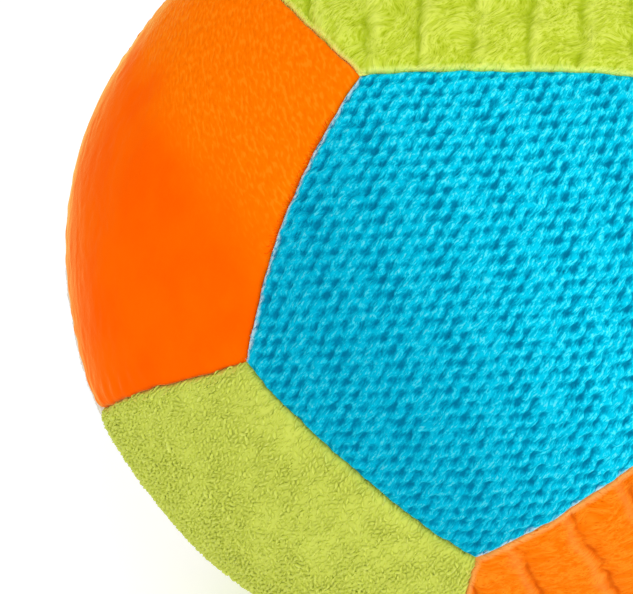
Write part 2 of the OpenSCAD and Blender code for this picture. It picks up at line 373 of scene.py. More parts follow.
class Panel:
    """One five-sided panel: its corners on the unit ball, and every place on and over its cloth."""

    def __init__(self, node, axis, corners):
        self.node = node
        self.name = node.replace("_panel", "")
        self.axis = axis
        self.corners = np.array(corners)
        after = np.roll(self.corners, -1, axis=0)
        self.inward = unit(np.cross(self.corners, after))
        self.arc = np.arccos(np.sum(self.corners * after, axis=1))
        before = np.roll(self.inward, 1, axis=0)
        self.mitre = (before + self.inward) / (1 + np.sum(before * self.inward, axis=1))[:, None]
        self.east = np.array([1.0, 0, 0]) if abs(axis[2]) > 0.999 else unit(np.cross(UP, axis))
        self.north = np.cross(axis, self.east)
        self.rests = axis[2] < -0.999
        self.shape = scene().ball_shape

    def direction(self, u, v):
        """The direction u east and v north of the middle, measured over the cloth."""
        far = np.hypot(u, v)
        angle = far / FACE_RADIUS
        share = np.where(far > 1e-9, np.sin(angle) / np.maximum(far, 1e-9), 1 / FACE_RADIUS)
        across = u[:, None] * self.east + v[:, None] * self.north
        return np.cos(angle)[:, None] * self.axis + share[:, None] * across

    def spread(self, d):
        """u and v of each direction, the reverse of direction."""
        angle = np.arccos(np.clip(d @ self.axis, -1, 1))
        share = FACE_RADIUS * np.where(angle > 1e-6, angle / np.maximum(np.sin(angle), 1e-6), 1)
        return share * (d @ self.east), share * (d @ self.north)

    def edge(self, d):
        """How far each direction lies inside the panel's nearest seam, and that seam's number."""
        across = d @ self.inward.T
        return FACE_RADIUS * np.arcsin(np.clip(across.min(axis=1), -1, 1)), across.argmin(axis=1)

    def outward(self, seam):
        """The direction over the cloth from the middle to each seam, as an angle from east."""
        out = -self.inward[seam]
        return np.arctan2(out @ self.north, out @ self.east)

    def along(self, d, seam):
        """The share of its seam at which each direction lies."""
        start = self.corners[seam]
        side = np.cross(self.inward[seam], start)
        turn = np.arctan2(np.sum(d * side, axis=1), np.sum(d * start, axis=1))
        return np.clip(turn / self.arc[seam], 0, 1)

    def radius(self, d):
        """The cloth's distance from the ball's centre in each direction, without its own texture."""
        s = self.shape
        across = d @ self.inward.T
        middle = (self.inward @ self.axis)[None]
        out = np.clip((1 - across / (d @ self.axis)[:, None] / middle).max(axis=1), 0, 1)
        edge, seam = self.edge(d)
        share = self.along(d, seam)
        rim = FACE_RADIUS + s.face_drop - s.seam_sag * np.sin(np.pi * share)
        r = FACE_RADIUS + (rim - FACE_RADIUS) * out ** 2
        blend, lump_margin = 0.7 * MM, 6 * MM
        puckers, pucker_place, pucker_reach = 11, 2.6 * MM, 2.2 * MM
        soft = -blend * np.log(np.exp(-FACE_RADIUS * across / blend).sum(axis=1))
        x = np.clip(soft / s.shoulder, 0, 1)
        r -= s.seam_dip * (1 - np.sqrt(1 - (1 - x) ** 2))
        inside = np.clip(edge / lump_margin, 0, 1)
        r += s.lump * inside * lattice_noise(FACE_RADIUS * d, s.lump_size, SEED)
        beside = np.exp(-((edge - pucker_place) / pucker_reach) ** 2)
        wave = np.sin(2 * np.pi * share * puckers + 3 * lattice_noise(FACE_RADIUS * d, 9 * MM, SEED + 1))
        return r + s.pucker * beside * wave

    def lifted(self, d, height, overhang=0.0):
        """Places in these directions at a height over the cloth, held on their side of the seam but for an overhang."""
        p = d * (self.radius(d) + height)[:, None]
        gap = self.shape.seam_gap - overhang
        for inward in self.inward:
            p += np.maximum(0, gap - p @ inward)[:, None] * inward
        p = settled(p)
        if self.rests:
            p[:, 2] = np.maximum(p[:, 2], 0)
        return p

    def lattice(self, step_a, step_b, margin):
        """u and v of every lattice point that lies inside the seams by a margin."""
        steps, reach = range(-90, 91), 62 * MM
        i, j = (g.ravel() for g in np.meshgrid(steps, steps))
        u = i * step_a[0] + j * step_b[0]
        v = i * step_a[1] + j * step_b[1]
        near = np.hypot(u, v) < reach
        u, v = u[near], v[near]
        inside = self.edge(self.direction(u, v))[0] > margin
        return u[inside], v[inside]


def ball_panels():
    """The twelve panels by node name, with the corners where the solids have them."""
    lean = math.degrees(math.atan(0.5))
    turn = 360 / SIDES
    upper = [ring_axis(turn * k - 90, lean) for k in range(SIDES)]
    lower = [ring_axis(turn * k + turn / 2 - 90, -lean) for k in range(SIDES)]
    top_shares = [(-0.008, -0.020), (0.010, 0.005), (-0.055, 0.0), (0.015, -0.022), (0.042, 0.008)]
    waist_shares = [(-0.018, 0.029), (0.018, 0.077), (-0.022, -0.003), (0.010, 0.010), (0.021, 0.034)]

    def corner(between, shares):
        middle = unit(between)
        return unit(middle + aside(middle, *shares))

    pairs = [upper[k] + upper[(k + 1) % SIDES] for k in range(SIDES)]
    tops = [corner(UP + pairs[k], top_shares[k]) for k in range(SIDES)]
    waists = [corner(pairs[k] + lower[k], waist_shares[k]) for k in range(SIDES)]
    lows = [-waists[(k + 3) % SIDES] for k in range(SIDES)]
    bottoms = [-tops[(k + 3) % SIDES] for k in range(SIDES)]

    def high(k):
        return upper[k], [tops[k], tops[k - 1], waists[k - 1], lows[k - 1], waists[k]]

    def low(k):
        return lower[k], [waists[k], lows[k - 1], bottoms[k - 1], bottoms[k], lows[k]]

    where = {
        "lime_rib_panel_top": (UP, tops),
        "lime_rib_panel_bottom": (-UP, bottoms[::-1]),
        "knit_panel_front": high(0),
        "knit_panel_back": low(2),
        "velour_panel_left": high(4),
        "velour_panel_right": low(1),
        "terry_panel_low_left": low(4),
        "terry_panel_high_right": high(2),
        "orange_rib_panel_low_right": low(0),
        "orange_rib_panel_high_left": high(3),
        "plush_panel_right": high(1),
        "plush_panel_left": low(3),
    }
    return {node: Panel(node, *place) for node, place in where.items()}


def finished(name, mesh, material, slot, smooth=True):
    """Links a mesh as a piece that rides on the ball."""
    mesh.name = name
    mesh.polygons.foreach_set("use_smooth", np.full(len(mesh.polygons), smooth))
    mesh.materials.clear()
    mesh.materials.append(material)
    piece = linked(name, mesh)
    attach(piece, BODY)
    return piece


def as_mesh(bm, name, outwards=True):
    """The edited shape as a mesh, with its faces turned outwards unless they already are."""
    if outwards:
        bmesh.ops.recalc_face_normals(bm, faces=bm.faces[:])
    mesh = bpy.data.meshes.new(name)
    bm.to_mesh(mesh)
    bm.free()
    return mesh


def places(mesh):
    """The mesh's vertices as rows."""
    co = np.empty(len(mesh.vertices) * 3, np.float32)
    mesh.vertices.foreach_get("co", co)
    return co.reshape(-1, 3).astype(float)


def put(mesh, co):
    """Moves the mesh's vertices to these rows."""
    mesh.vertices.foreach_set("co", co.astype(np.float32).ravel())
    mesh.update()


def note(mesh, name, values):
    """Keeps a number for each vertex, which a material reads."""
    mesh.attributes.new(name, "FLOAT", "POINT").data.foreach_set("value", np.asarray(values, np.float32))


def cloth_blank(panel, cuts):
    """Five-sided cloth on the unit ball with its edge turned in, and how many points it has after each fold."""
    bm = bmesh.new()
    outline = bm.faces.new([bm.verts.new(c) for c in panel.corners])
    middle = bmesh.ops.poke(bm, faces=[outline])["verts"][0]
    middle.co = panel.axis * middle.co.length
    bmesh.ops.subdivide_edges(bm, edges=bm.edges[:], cuts=cuts, use_grid_fill=True)
    bmesh.ops.triangulate(bm, faces=bm.faces[:])
    folds = [len(bm.verts)]
    rim = [e for e in bm.edges if e.is_boundary]
    for _ in range(3):
        made = bmesh.ops.extrude_edge_only(bm, edges=rim)["geom"]
        rim = [e for e in made if isinstance(e, bmesh.types.BMEdge) and e.is_boundary]
        folds.append(len(bm.verts))
    lining = bmesh.ops.edgeloop_fill(bm, edges=rim)["faces"]
    bmesh.ops.poke(bm, faces=lining)
    return as_mesh(bm, panel.name), folds


def margined(height, edge):
    """The heights of a texture, which fades out at the seams."""
    return height * np.clip(edge / TEXTURE_MARGIN, 0, 1)


def cloth_piece(panel, texture, material, slot, cuts):
    """The panel's cloth, closed round its edge.

    texture(u, v, d, edge, seam) gives each point's height and what else the mesh notes for the material.
    """
    mesh, folds = cloth_blank(panel, cuts)
    s = panel.shape
    co = places(mesh)
    d = unit(co)
    face = slice(0, folds[0])
    u, v = panel.spread(d[face])
    edge, seam = panel.edge(d[face])
    height, notes = texture(u, v, d[face], edge, seam)
    out = np.empty_like(co)
    out[face] = panel.lifted(d[face], margined(height, edge))
    top = FACE_RADIUS + s.face_drop - s.seam_dip
    folded = [(top - s.allowance, s.seam_gap), (top - s.allowance, s.cloth), (top - s.cloth, s.cloth)]
    for (low, high), (r, inset) in zip(itertools.pairwise(folds), folded):
        _, seam = panel.edge(d[low:high])
        share = panel.along(d[low:high], seam)[:, None]
        step = panel.mitre[seam] * (1 - share) + panel.mitre[(seam + 1) % SIDES] * share
        out[low:high] = settled(r * d[low:high] + inset * step)
    out[folds[-1]:] = panel.axis * (FACE_RADIUS - 1.5 * s.cloth) + CENTRE
    put(mesh, out)
    for name, values in {"height": height / MM, **notes}.items():
        whole = np.zeros(len(co))
        whole[face] = values
        note(mesh, name, whole)
    piece = finished(panel.name + "_cloth", mesh, material, slot)
    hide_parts(panel.node)


def rod_blank(sides, cuts):
    """A closed rod of radius 1 from z = 0 to 1, cut along its length."""
    bm = bmesh.new()
    bmesh.ops.create_cone(bm, cap_ends=True, segments=sides, radius1=1, radius2=1, depth=1)
    bmesh.ops.translate(bm, verts=bm.verts[:], vec=(0, 0, 0.5))
    lengthwise = [e for e in bm.edges if abs(e.verts[0].co.z - e.verts[1].co.z) > 0.5]
    bmesh.ops.subdivide_edges(bm, edges=lengthwise, cuts=cuts)
    return as_mesh(bm, "rod")


def many(blank, count):
    """A mesh of count copies of the blank, one after the other."""
    each = len(blank.vertices)
    mesh = blank
    while len(mesh.vertices) < count * each:
        bm = bmesh.new()
        bm.from_mesh(mesh)
        bm.from_mesh(mesh)
        mesh = as_mesh(bm, "rods", outwards=False)
    bm = bmesh.new()
    bm.from_mesh(mesh)
    bm.verts.ensure_lookup_table()
    bmesh.ops.delete(bm, geom=bm.verts[count * each:], context="VERTS")
    return as_mesh(bm, "rods", outwards=False)


def bent(form, path, radius):
    """Each rod's points as rows of x along it, y to its left and z up.

    path(t) gives the rods' middle lines at the shares t of their length, and radius(t) their thickness there.
    """
    t, side, up = form[:, 2][None], form[:, 0][None], form[:, 1][None]
    x, y, z = path(t)
    step = 0.01
    ahead, behind = path(t + step), path(t - step)
    pitch = np.arctan2(ahead[2] - behind[2], ahead[0] - behind[0])
    r = radius(t)
    return x - up * r * np.sin(pitch), y + side * r, z + up * r * np.cos(pitch)


def rods(panel, name, blank, at, yaw, path, radius, notes, material, slot, overhang=0.0):
    """One rod at each place over the panel, turned by yaw, on the cloth's own height."""
    form = places(blank)
    x, y, z = bent(form, path, radius)
    u0, v0 = at
    yaw = np.broadcast_to(yaw, u0.shape)[:, None]
    u = u0[:, None] + x * np.cos(yaw) - y * np.sin(yaw)
    v = v0[:, None] + x * np.sin(yaw) + y * np.cos(yaw)
    whole = (len(u0), len(form))
    mesh = many(blank, len(u0))
    u, v, z = (np.broadcast_to(a, whole).ravel() for a in (u, v, z))
    put(mesh, panel.lifted(panel.direction(u, v), z, overhang))
    for key, values in {"lift": z.reshape(whole) / MM, **notes}.items():
        note(mesh, key, np.broadcast_to(values, whole).ravel())
    finished(panel.name + "_" + name, mesh, material, slot, smooth=False)


class Value:
    """A node's output that adds, multiplies and so on as a number does."""

    def __init__(self, finish, socket):
        self.finish = finish
        self.socket = socket

    def math(self, operation, other):
        """A Math node on this value and another."""
        return self.finish.node("ShaderNodeMath", {"operation": operation}, {0: self, 1: other})

    def __add__(self, other):
        return self.math("ADD", other)

    __radd__ = __add__

    def __sub__(self, other):
        return self.math("SUBTRACT", other)

    def __mul__(self, other):
        return self.math("MULTIPLY", other)

    __rmul__ = __mul__


class Finish:
    """A material or the world's light, built node by node."""

    def __init__(self, owner):
        self.owner = owner
        owner.use_nodes = True
        self.tree = owner.node_tree
        self.tree.nodes.clear()

    def node(self, kind, settings, inputs, output=0):
        """A node of a kind, with its settings made first and then its inputs, as a Value."""
        made = self.tree.nodes.new(kind)
        for key, setting in settings.items():
            setattr(made, key, setting)
        for key, given in inputs.items():
            socket = made.inputs[key]
            if isinstance(given, Value):
                self.tree.links.new(given.socket, socket)
            elif socket.type == "RGBA":
                socket.default_value = (*given, 1.0)
            else:
                socket.default_value = given
        return Value(self, made.outputs[output]) if made.outputs else None

    def noted(self, name):
        """A number noted on the mesh."""
        return self.node("ShaderNodeAttribute", {"attribute_name": name}, {}, "Fac")

    def noise(self, size, detail=3.0, rough=0.6, vector=None, curl=0.0):
        """Noise from 0 to 1 with grains of this size, over the object or over another vector."""
        vector = vector or self.node("ShaderNodeTexCoord", {}, {}, "Object")
        settings = {"Vector": vector, "Scale": 1 / size, "Detail": detail, "Roughness": rough, "Distortion": curl}
        return self.node("ShaderNodeTexNoise", {}, settings)

    def streaks(self, across, upward, detail, rough, curl):
        """Noise from 0 to 1 with so many grains a millimetre across and along the cloth's own direction."""
        grains = {0: self.noted("across") * across, 1: self.noted("upward") * upward}
        return self.noise(1.0, detail, rough, self.node("ShaderNodeCombineXYZ", {}, grains), curl)

    def mix(self, share, a, b):
        """A colour between a and b."""
        return self.node("ShaderNodeMix", {"data_type": "RGBA"}, {0: share, 6: a, 7: b}, 2)

    def band(self, value, low, high):
        """0 below low, 1 above high and smooth between."""
        settings = {"Value": value, "From Min": low, "From Max": high}
        return self.node("ShaderNodeMapRange", {"interpolation_type": "SMOOTHSTEP"}, settings)

    def bump(self, height, distance):
        """A normal raised by height times distance."""
        return self.node("ShaderNodeBump", {}, {"Height": height, "Distance": distance})

    def surface(self, **inputs):
        """Ends the material in the one shader. The names are its sockets, with _ for spaces."""
        named = {key.replace("_", " "): value for key, value in inputs.items()}
        shader = self.node("ShaderNodeBsdfPrincipled", {}, named)
        self.node("ShaderNodeOutputMaterial", {}, {"Surface": shader})
        return self.owner


def new_finish(name):
    """An empty material's nodes."""
    return Finish(bpy.data.materials.new(name))


def soft_finish(name, dark, base, light, levels, height="lift", grain=0.3 * MM, combed=0.0, pale=None, scatter=0.0):
    """Yarn, pile or cloth: dark at the lowest of three levels, light at the highest, with curls where it is combed."""
    f = new_finish(name)
    lift = f.noted(height)
    speckle = f.noise(grain, 3.0, 0.7)
    if combed:
        curl = f.streaks(1.0, 2.5, 1.5, 0.5, 0.2)
        dash = f.streaks(2.0, 5.0, 1.0, 0.5, 0.2)
        # Painted shade in the creases between the curls
        lift = lift - combed * f.band(curl, 0.52, 0.32)
        speckle = 0.3 * speckle + 0.9 * curl
    drift = f.noise(11 * MM, 2.0)
    # Painted shade where the yarn or pile lies low, and a painted highlight where it stands highest
    body = f.mix(f.band(lift + 0.3 * (speckle - 0.5), levels[0], levels[1]), dark, base)
    crown = f.band(lift + 0.5 * (drift - 0.5), levels[1], levels[2]) * f.band(speckle, 0.3, 0.7)
    body = f.mix(crown * 0.9, body, light)
    body = f.mix(f.band(f.noted("shade"), 0.0, 0.8) * 0.16, body, dark)
    # Painted shade in and beside the grooves
    body = f.mix(f.noted("groove") * 0.75, body, dark)
    if combed:
        body = f.mix(f.band(dash, 0.44, 0.3) * (0.75 - 0.43 * combed), body, dark)
        # The pale fringe along the seams, and a painted highlight on each crest
        body = f.mix(f.noted("rim") * f.band(speckle, 0.3, 0.6) + f.noted("crest") * 0.22, body, pale)
    return f.surface(
        Base_Color=body, Roughness=0.85 + 0.15 * speckle, Specular_IOR_Level=0.02,
        Subsurface_Weight=scatter, Subsurface_Radius=WHITE, Subsurface_Scale=0.5 * MM,
        Sheen_Weight=0.08, Sheen_Roughness=0.5, Sheen_Tint=light,
        Normal=f.bump(speckle, (0.1 + 0.5 * combed) * MM))


def dimmed(body, share):
    """A colour at a share of its light."""
    return [share * part for part in body]


def plastic(name, body, rough):
    """Moulded plastic with a fine uneven skin."""
    f = new_finish(name)
    skin = f.noise(1.5 * MM, 3.0)
    return f.surface(
        Base_Color=f.mix(skin, dimmed(body, 0.82), body), Roughness=rough + 0.1 * skin,
        Normal=f.bump(f.noise(0.5 * MM, 2.0), 0.02 * MM))


def fibres(name, body, dark_share, grain, relief, rough, rougher=0.0, **more):
    """Thread or loose fibre, darker and deeper in its grain."""
    f = new_finish(name)
    twist = f.noise(*grain)
    return f.surface(
        Base_Color=f.mix(twist, dimmed(body, dark_share), body), Roughness=rough + rougher * twist,
        Normal=f.bump(twist, relief), **more)


def shared(name, make, *colours, **options):
    """The material of this name, made the first time it is asked for."""
    return bpy.data.materials.get(name) or make(name, *colours, **options)


def patches(along, across, long, wide, seed):
    """Smooth noise from -1 to 1 over the flat cloth, in patches this long and wide."""
    return lattice_noise(np.stack([along / long, across / wide, np.zeros(len(along))], axis=1), 1.0, seed)


def creases(place, along, across):
    """Combed yarn as shares of its height, with 0 in the creases between its strands."""
    size, seed = 0.8 * MM, SEED + 12
    wander = lattice_noise(place, 3 * size, seed) + 1.8 * lattice_noise(place, 8 * size, seed + 1)
    depth = np.clip(0.62 + 0.6 * patches(along, across, 2.0 * size, 1.2 * size, seed + 2), 0, 1)
    return 1 - depth * (1 - np.sqrt(np.abs(np.sin(np.pi * (across / size + 0.7 * wander)))))


def knit_height(u, v):
    """Height of the knit's stitches and hollows."""
    k = scene().knit_cloth
    level, stray, unlike = 0.38, 0.16 * MM, 0.08
    down = np.array(turned(k.row, k.stagger))
    step = np.array([2 * np.array(turned(k.column, k.row_turn)) - down, down])
    total = np.full(len(u), level)
    for east, north, half_length, half_width, way, height in KNIT_FORMS:
        at = np.stack([u, v], axis=1) - np.array([east, north]) * MM
        cell = np.round(at @ np.linalg.inv(step))
        for shift in itertools.product((-1, 0, 1), repeat=2):
            middle = (cell + shift) @ step
            chance = np.sin(middle * [3517, 4391] + middle[:, ::-1] * [7919, 2887])
            along, across = laid(*(at - middle - stray * chance).T, math.radians(way))
            bell = np.exp(-(along / (half_length * MM)) ** 2 - (across / (half_width * MM)) ** 2)
            total += (height + unlike * chance[:, 0]) * bell
    return k.rise * total


def knit_texture(frayed):
    """The heights of the knit, with its rim paler along the frayed seams."""
    k = scene().knit_cloth
    rim_width = 0.6 * MM

    def texture(u, v, d, edge, seam):
        along, across = laid(u, v, k.slant)
        strand = creases(FACE_RADIUS * d, along, across)
        height = knit_height(u, v)
        rim = np.clip(2.0 - edge / rim_width, 0, 1) * np.isin(seam, frayed)
        # lit grows up and to the right over the panel; knit_finish darkens its low end as painted shade
        notes = {
            "form": height / k.rise, "strand": strand, "rim": rim, "across": across / MM, "upward": along / MM,
            "lit": (u + 0.6 * v) / MM}
        return height + k.strand * (strand - 0.6), notes

    return texture


def knit_finish(name):
    """Fuzzy yarn: streaks of light strands over a darker body, brightest on the crowns of the stitches."""
    k = scene().knit_cloth
    f = new_finish(name)
    streak = f.streaks(2.7, 0.95, 1.0, 0.5, 0.4)
    fine = f.streaks(6.0, 2.0, 2.0, 0.6, 0.4)
    # Painted shade: darker where the stitches lie low, in the hollows and the creases between strands
    form = f.noted("form") + 0.3 * (f.noted("strand") - 0.7)
    body = f.mix(f.band(form + 1.1 * (streak - 0.5) + 0.5 * (fine - 0.5), -0.6, 0.3), k.dark, k.base)
    # Painted highlight: light streaks on the crowns of the stitches
    shine = f.band(streak + 0.5 * (fine - 0.5), 0.48, 0.64)
    body = f.mix(shine * f.band(form, -0.4, 0.3), body, k.light)
    # Painted glint: the palest streaks on the highest crowns
    glint = f.band(streak + 0.8 * (fine - 0.5), 0.56, 0.74)
    body = f.mix(glint * f.band(form, -0.1, 0.6) * 0.85, body, k.pale)
    # Painted shade: the knit darker towards its left and bottom, where less light falls
    body = f.mix(f.band(f.noted("lit"), 18.0, -32.0) * 0.44, body, k.dark)
    body = f.mix(f.noted("rim") * f.band(streak + 0.5 * fine, 0.55, 0.85), body, k.fuzz)
    return f.surface(
        Base_Color=body, Roughness=0.85 + 0.15 * fine, Specular_IOR_Level=0.02,
        Subsurface_Weight=0.25, Subsurface_Radius=WHITE, Subsurface_Scale=0.3 * MM,
        Normal=f.bump(streak + 0.4 * fine, 0.42 * MM))


def knit_panel(panel, frayed):
    """The knit's stitches, and the fuzz of its cut edge along the frayed seams."""
    k = scene().knit_cloth
    texture = knit_texture(frayed)
    cloth_piece(panel, texture, shared("knit", knit_finish), "cyan_knit", cuts=195)
    fuzz = shared("knit_fuzz", soft_finish, k.base, k.fuzz, k.fuzz, (-0.8, 0.1, 0.5), grain=0.5 * MM)
    fringe(
        panel, texture, fuzz, "cyan_knit", seed=SEED + 13, band=0.5 * MM, reach=1.0 * MM, thick=0.08 * MM,
        unruly=0.9, overhang=0.35 * MM, seams=frayed)


def terry_panel(panel):
    """Ground cloth and its standing loops."""
    c = scene().terry_cloth
    # Painted shade where the ground cloth lies low
    ground = shared("terry_ground", soft_finish, c.dark, c.base, c.base, (-0.5, 0.3, 1.0), height="height")

    def texture(u, v, d, edge, seam):
        return uneven(FACE_RADIUS * d, (0.12, 4, 11)), {}

    cloth_piece(panel, texture, ground, "lime_terry", cuts=60)
    skew = math.radians(62)
    u, v = panel.lattice(turned(c.column, c.row_turn), turned(c.row, c.row_turn + skew), 0.05 * MM)
    rng = np.random.default_rng(SEED + 1)
    count, stray, sunk = len(u), 0.1 * MM, 0.06 * MM
    u, v = u + rng.normal(0, stray, count), v + rng.normal(0, stray, count)
    yaw = rng.normal(c.row_turn, 0.35, count)
    size = rng.normal(1.0, 0.14, count)[:, None]
    lean = rng.normal(0, 0.2 * MM, count)[:, None]

    def path(t):
        turn = np.pi * t
        return -c.spread * size * np.cos(turn), lean * np.sin(turn), c.height * size * np.sin(turn) - sunk

    # Painted shade at the loops' roots and a painted highlight on their tops
    loop = shared("terry_loop", soft_finish, c.dark, c.base, c.light, (0.0, 0.35, 0.75), scatter=0.3)
    notes = {"shade": rng.random((count, 1))}
    blank = rod_blank(sides=3, cuts=3)
    rods(
        panel, "loops", blank, (u, v), yaw, path, lambda t: c.thick * size, notes, loop, "lime_terry",
        overhang=0.25 * MM)
    fringe(
        panel, texture, loop, "lime_terry", seed=SEED + 15, band=0.55 * MM, reach=0.9 * MM, thick=0.15 * MM,
        unruly=0.5, overhang=0.45 * MM)


def rib_texture(r, lean):
    """The heights of a ribbed cloth. Its pile stands up on one side of each groove, which lean, 1 or -1, gives."""
    lock_length, rim_width = 1.1 * MM, 0.65 * MM
    crest_height, crest_place, crest_width = 0.15 * MM, 1.6 * MM, 0.8 * MM

    def texture(u, v, d, edge, seam):
        place = FACE_RADIUS * d
        down, across = laid(u, v, r.turn)
        ribs = (across + r.shift + uneven(place, (0.7, 9, 2), (0.7, 2.6, 0))) / r.pitch
        side = (ribs - np.round(ribs)) * r.pitch * lean
        depth = np.clip(0.75 + 0.8 * lattice_noise(place, 3.6 * MM, SEED + 17), 0, 1)
        groove = depth * np.exp(-(side / r.width) ** 2)
        # Painted shade in a wide band on the groove's other side
        shade = 0.3 * depth * np.exp(-((side + r.width) / (3 * r.width)) ** 2)
        # The crest, where the pile stands a little higher and is painted paler as a painted highlight
        crest = np.exp(-((side - crest_place) / crest_width) ** 2)
        upward, along = laid(down, across, r.comb)
        along = along + uneven(place, (1.9, 4.2, 18))
        upward = upward + uneven(place, (1.9, 4.2, 19))
        strand = np.clip(0.6 + 0.6 * patches(along, upward, lock_length, r.strand, SEED + 3), 0, 1)
        fluff = r.curls * r.crease * strand + uneven(place, (0.16, 4, 4)) + crest_height * crest
        height = fluff - r.groove * groove - r.dome * depth * np.exp(-(side / (0.2 * r.pitch)) ** 2)
        # groove carries painted shade in and beside the grooves, crest the painted highlight
        return height, {
            "groove": np.clip(groove + shade, 0, 1), "strand": strand, "crest": crest,
            "rim": np.clip(1.6 - edge / rim_width, 0, 1), "across": along / MM, "upward": upward / MM}

    return texture


def fringe(panel, texture, thread, slot, seed, band, reach, thick, unruly, overhang, seams=range(SIDES)):
    """Pile in a band along these seams that leans out over them."""
    step = 0.42 * MM
    u, v = panel.lattice((step, 0.0), turned(step, HEX_TURN), 0.05 * MM)
    edge, seam = panel.edge(panel.direction(u, v))
    near = (edge < band) & np.isin(seam, seams)
    tufts(
        panel, "fringe", texture, thread, slot, seed, (u[near], v[near]), step, panel.outward(seam[near]), reach,
        thick, unruly, overhang)


def tufts(panel, name, texture, thread, slot, seed, at, step, turn, reach, thick, unruly, overhang=0.0):
    """A tuft of this reach and thickness at each place, which leans this way but for its unruliness."""
    rng = np.random.default_rng(seed)
    u, v = (a + rng.normal(0, 0.24 * step, len(a)) for a in at)
    d = panel.direction(u, v)
    edge, seam = panel.edge(d)
    height, _ = texture(u, v, d, edge, seam)
    root = margined(height, edge)[:, None]
    count, sunk = len(u), 0.1 * MM
    flow = 0.6 * lattice_noise(FACE_RADIUS * d, 4.5 * MM, seed + 1) + rng.normal(0, unruly, count)
    long = reach * rng.normal(1.0, 0.2, count)[:, None]
    arch = rng.normal(0.13 * reach, 0.04 * reach, count)[:, None]

    def path(t):
        return long * (t - 0.4), 0 * t, root - sunk + arch * np.sin(0.8 * np.pi * t)

    def radius(t):
        return thick * (1 - 0.6 * np.clip(t, 0, 1) ** 2)

    notes = {"shade": rng.random((count, 1))}
    blank = rod_blank(sides=3, cuts=1)
    rods(panel, name, blank, (u, v), turn + flow, path, radius, notes, thread, slot, overhang)


def rib_panel(panel, r, slot, lean):
    """Ribbed plush: the ribs and grooves of its combed pile, and the fringe along its seams."""
    texture = rib_texture(r, lean)
    # The ground has painted shade in its grooves and low places and painted highlights high; the fringe's pile has a
    # painted highlight at its tips
    ground = shared(
        slot + "_ground", soft_finish, r.dark, r.base, r.light, (-0.6, 0.2, 0.85), height="strand",
        combed=r.curls, pale=r.pale, scatter=0.3)
    cloth_piece(panel, texture, ground, slot, cuts=190)
    thread = shared(slot + "_pile", soft_finish, r.base, r.light, r.pale, (-1.0, -0.3, 0.9))
    fringe(
        panel, texture, thread, slot, seed=SEED + 14, band=0.7 * MM, reach=1.0 * MM, thick=0.12 * MM,
        unruly=0.35, overhang=0.6 * MM)


def velour_finish(name):
    """Velour: a fine nap, with streaks where its upper part is brushed towards the light."""
    p = scene().pile_cloth
    f = new_finish(name)
    grain = f.noise(0.8 * MM, 3.0, 0.6)
    streak = f.streaks(1.6, 0.55, 1.0, 0.5, 0.1)
    brushed = f.noise(14 * MM, 3.0, 0.5)
    body = f.mix(f.band(brushed, 0.35, 0.65), p.velour_dark, p.velour)
    # Painted light: the upper part lighter, with a soft uneven edge
    lit = f.band(f.noted("lit") + 14 * (brushed - 0.5), 3.0, 20.0)
    body = f.mix(lit * 0.85 + 0.15 * grain, body, p.velour_painted_light)
    # The nap's streaks, shown only in the painted light, as painted sheen with painted shade between them
    body = f.mix(lit * lit * f.band(streak, 0.48, 0.68) * 0.5, body, p.velour_pale)
    body = f.mix(lit * lit * f.band(streak, 0.48, 0.32) * 0.4, body, p.velour_shade)
    return f.surface(
        Base_Color=body, Roughness=0.88, Specular_IOR_Level=0.0, Sheen_Weight=0.85, Sheen_Roughness=0.2,
        Sheen_Tint=(1.0, 0.98, 0.3), Normal=f.bump(streak * lit + 0.4 * grain, 0.16 * MM))


def velour_panel(panel):
    """Smooth velour with a slightly uneven surface and a rougher nap beside its seams."""
    p = scene().pile_cloth

    def texture(u, v, d, edge, seam):
        along, across = laid(u, v, p.brushed)
        # lit grows upward over the panel, for the painted light on the velour's upper part
        notes = {"lit": (v + 0.1 * u) / MM, "across": -across / MM, "upward": along / MM}
        return uneven(FACE_RADIUS * d, (0.16, 7, 6), (0.06, 1.8, 0)), notes

    cloth_piece(panel, texture, shared("velour", velour_finish), "orange_velour", cuts=100)
    # The nap's fringe: painted shade low and a painted highlight at its tips
    thread = shared("velour_nap", soft_finish, p.velour_dark, p.velour, p.velour_painted_light, (-0.6, 0.0, 0.5))
    fringe(
        panel, texture, thread, "orange_velour", seed=SEED + 7, band=p.fringe, reach=p.nap, thick=0.12 * MM,
        unruly=0.5, overhang=0.2 * MM)


def plush_panel(panel):
    """Short pale plush."""
    p = scene().pile_cloth

    def texture(u, v, d, edge, seam):
        return uneven(FACE_RADIUS * d, (0.2, 3, 8)), {}

    # Painted shade where the ground cloth lies low
    ground = shared(
        "plush_ground", soft_finish, p.plush_dark, p.plush, p.plush, (-0.6, 0.1, 1.0), height="height")
    cloth_piece(panel, texture, ground, "pale_plush", cuts=50)
    # Painted shade at the pile's roots and a painted highlight at its tips
    thread = shared("plush_pile", soft_finish, p.plush_dark, p.plush, p.plush_light, (-0.3, 0.1, 0.6))
    at = panel.lattice((p.tuft, 0.0), turned(p.tuft, HEX_TURN), 0.2 * MM)
    tufts(
        panel, "pile", texture, thread, "pale_plush", SEED + 9, at, step=p.tuft, turn=math.radians(-90),
        reach=p.pile, thick=0.2 * MM, unruly=0.22)


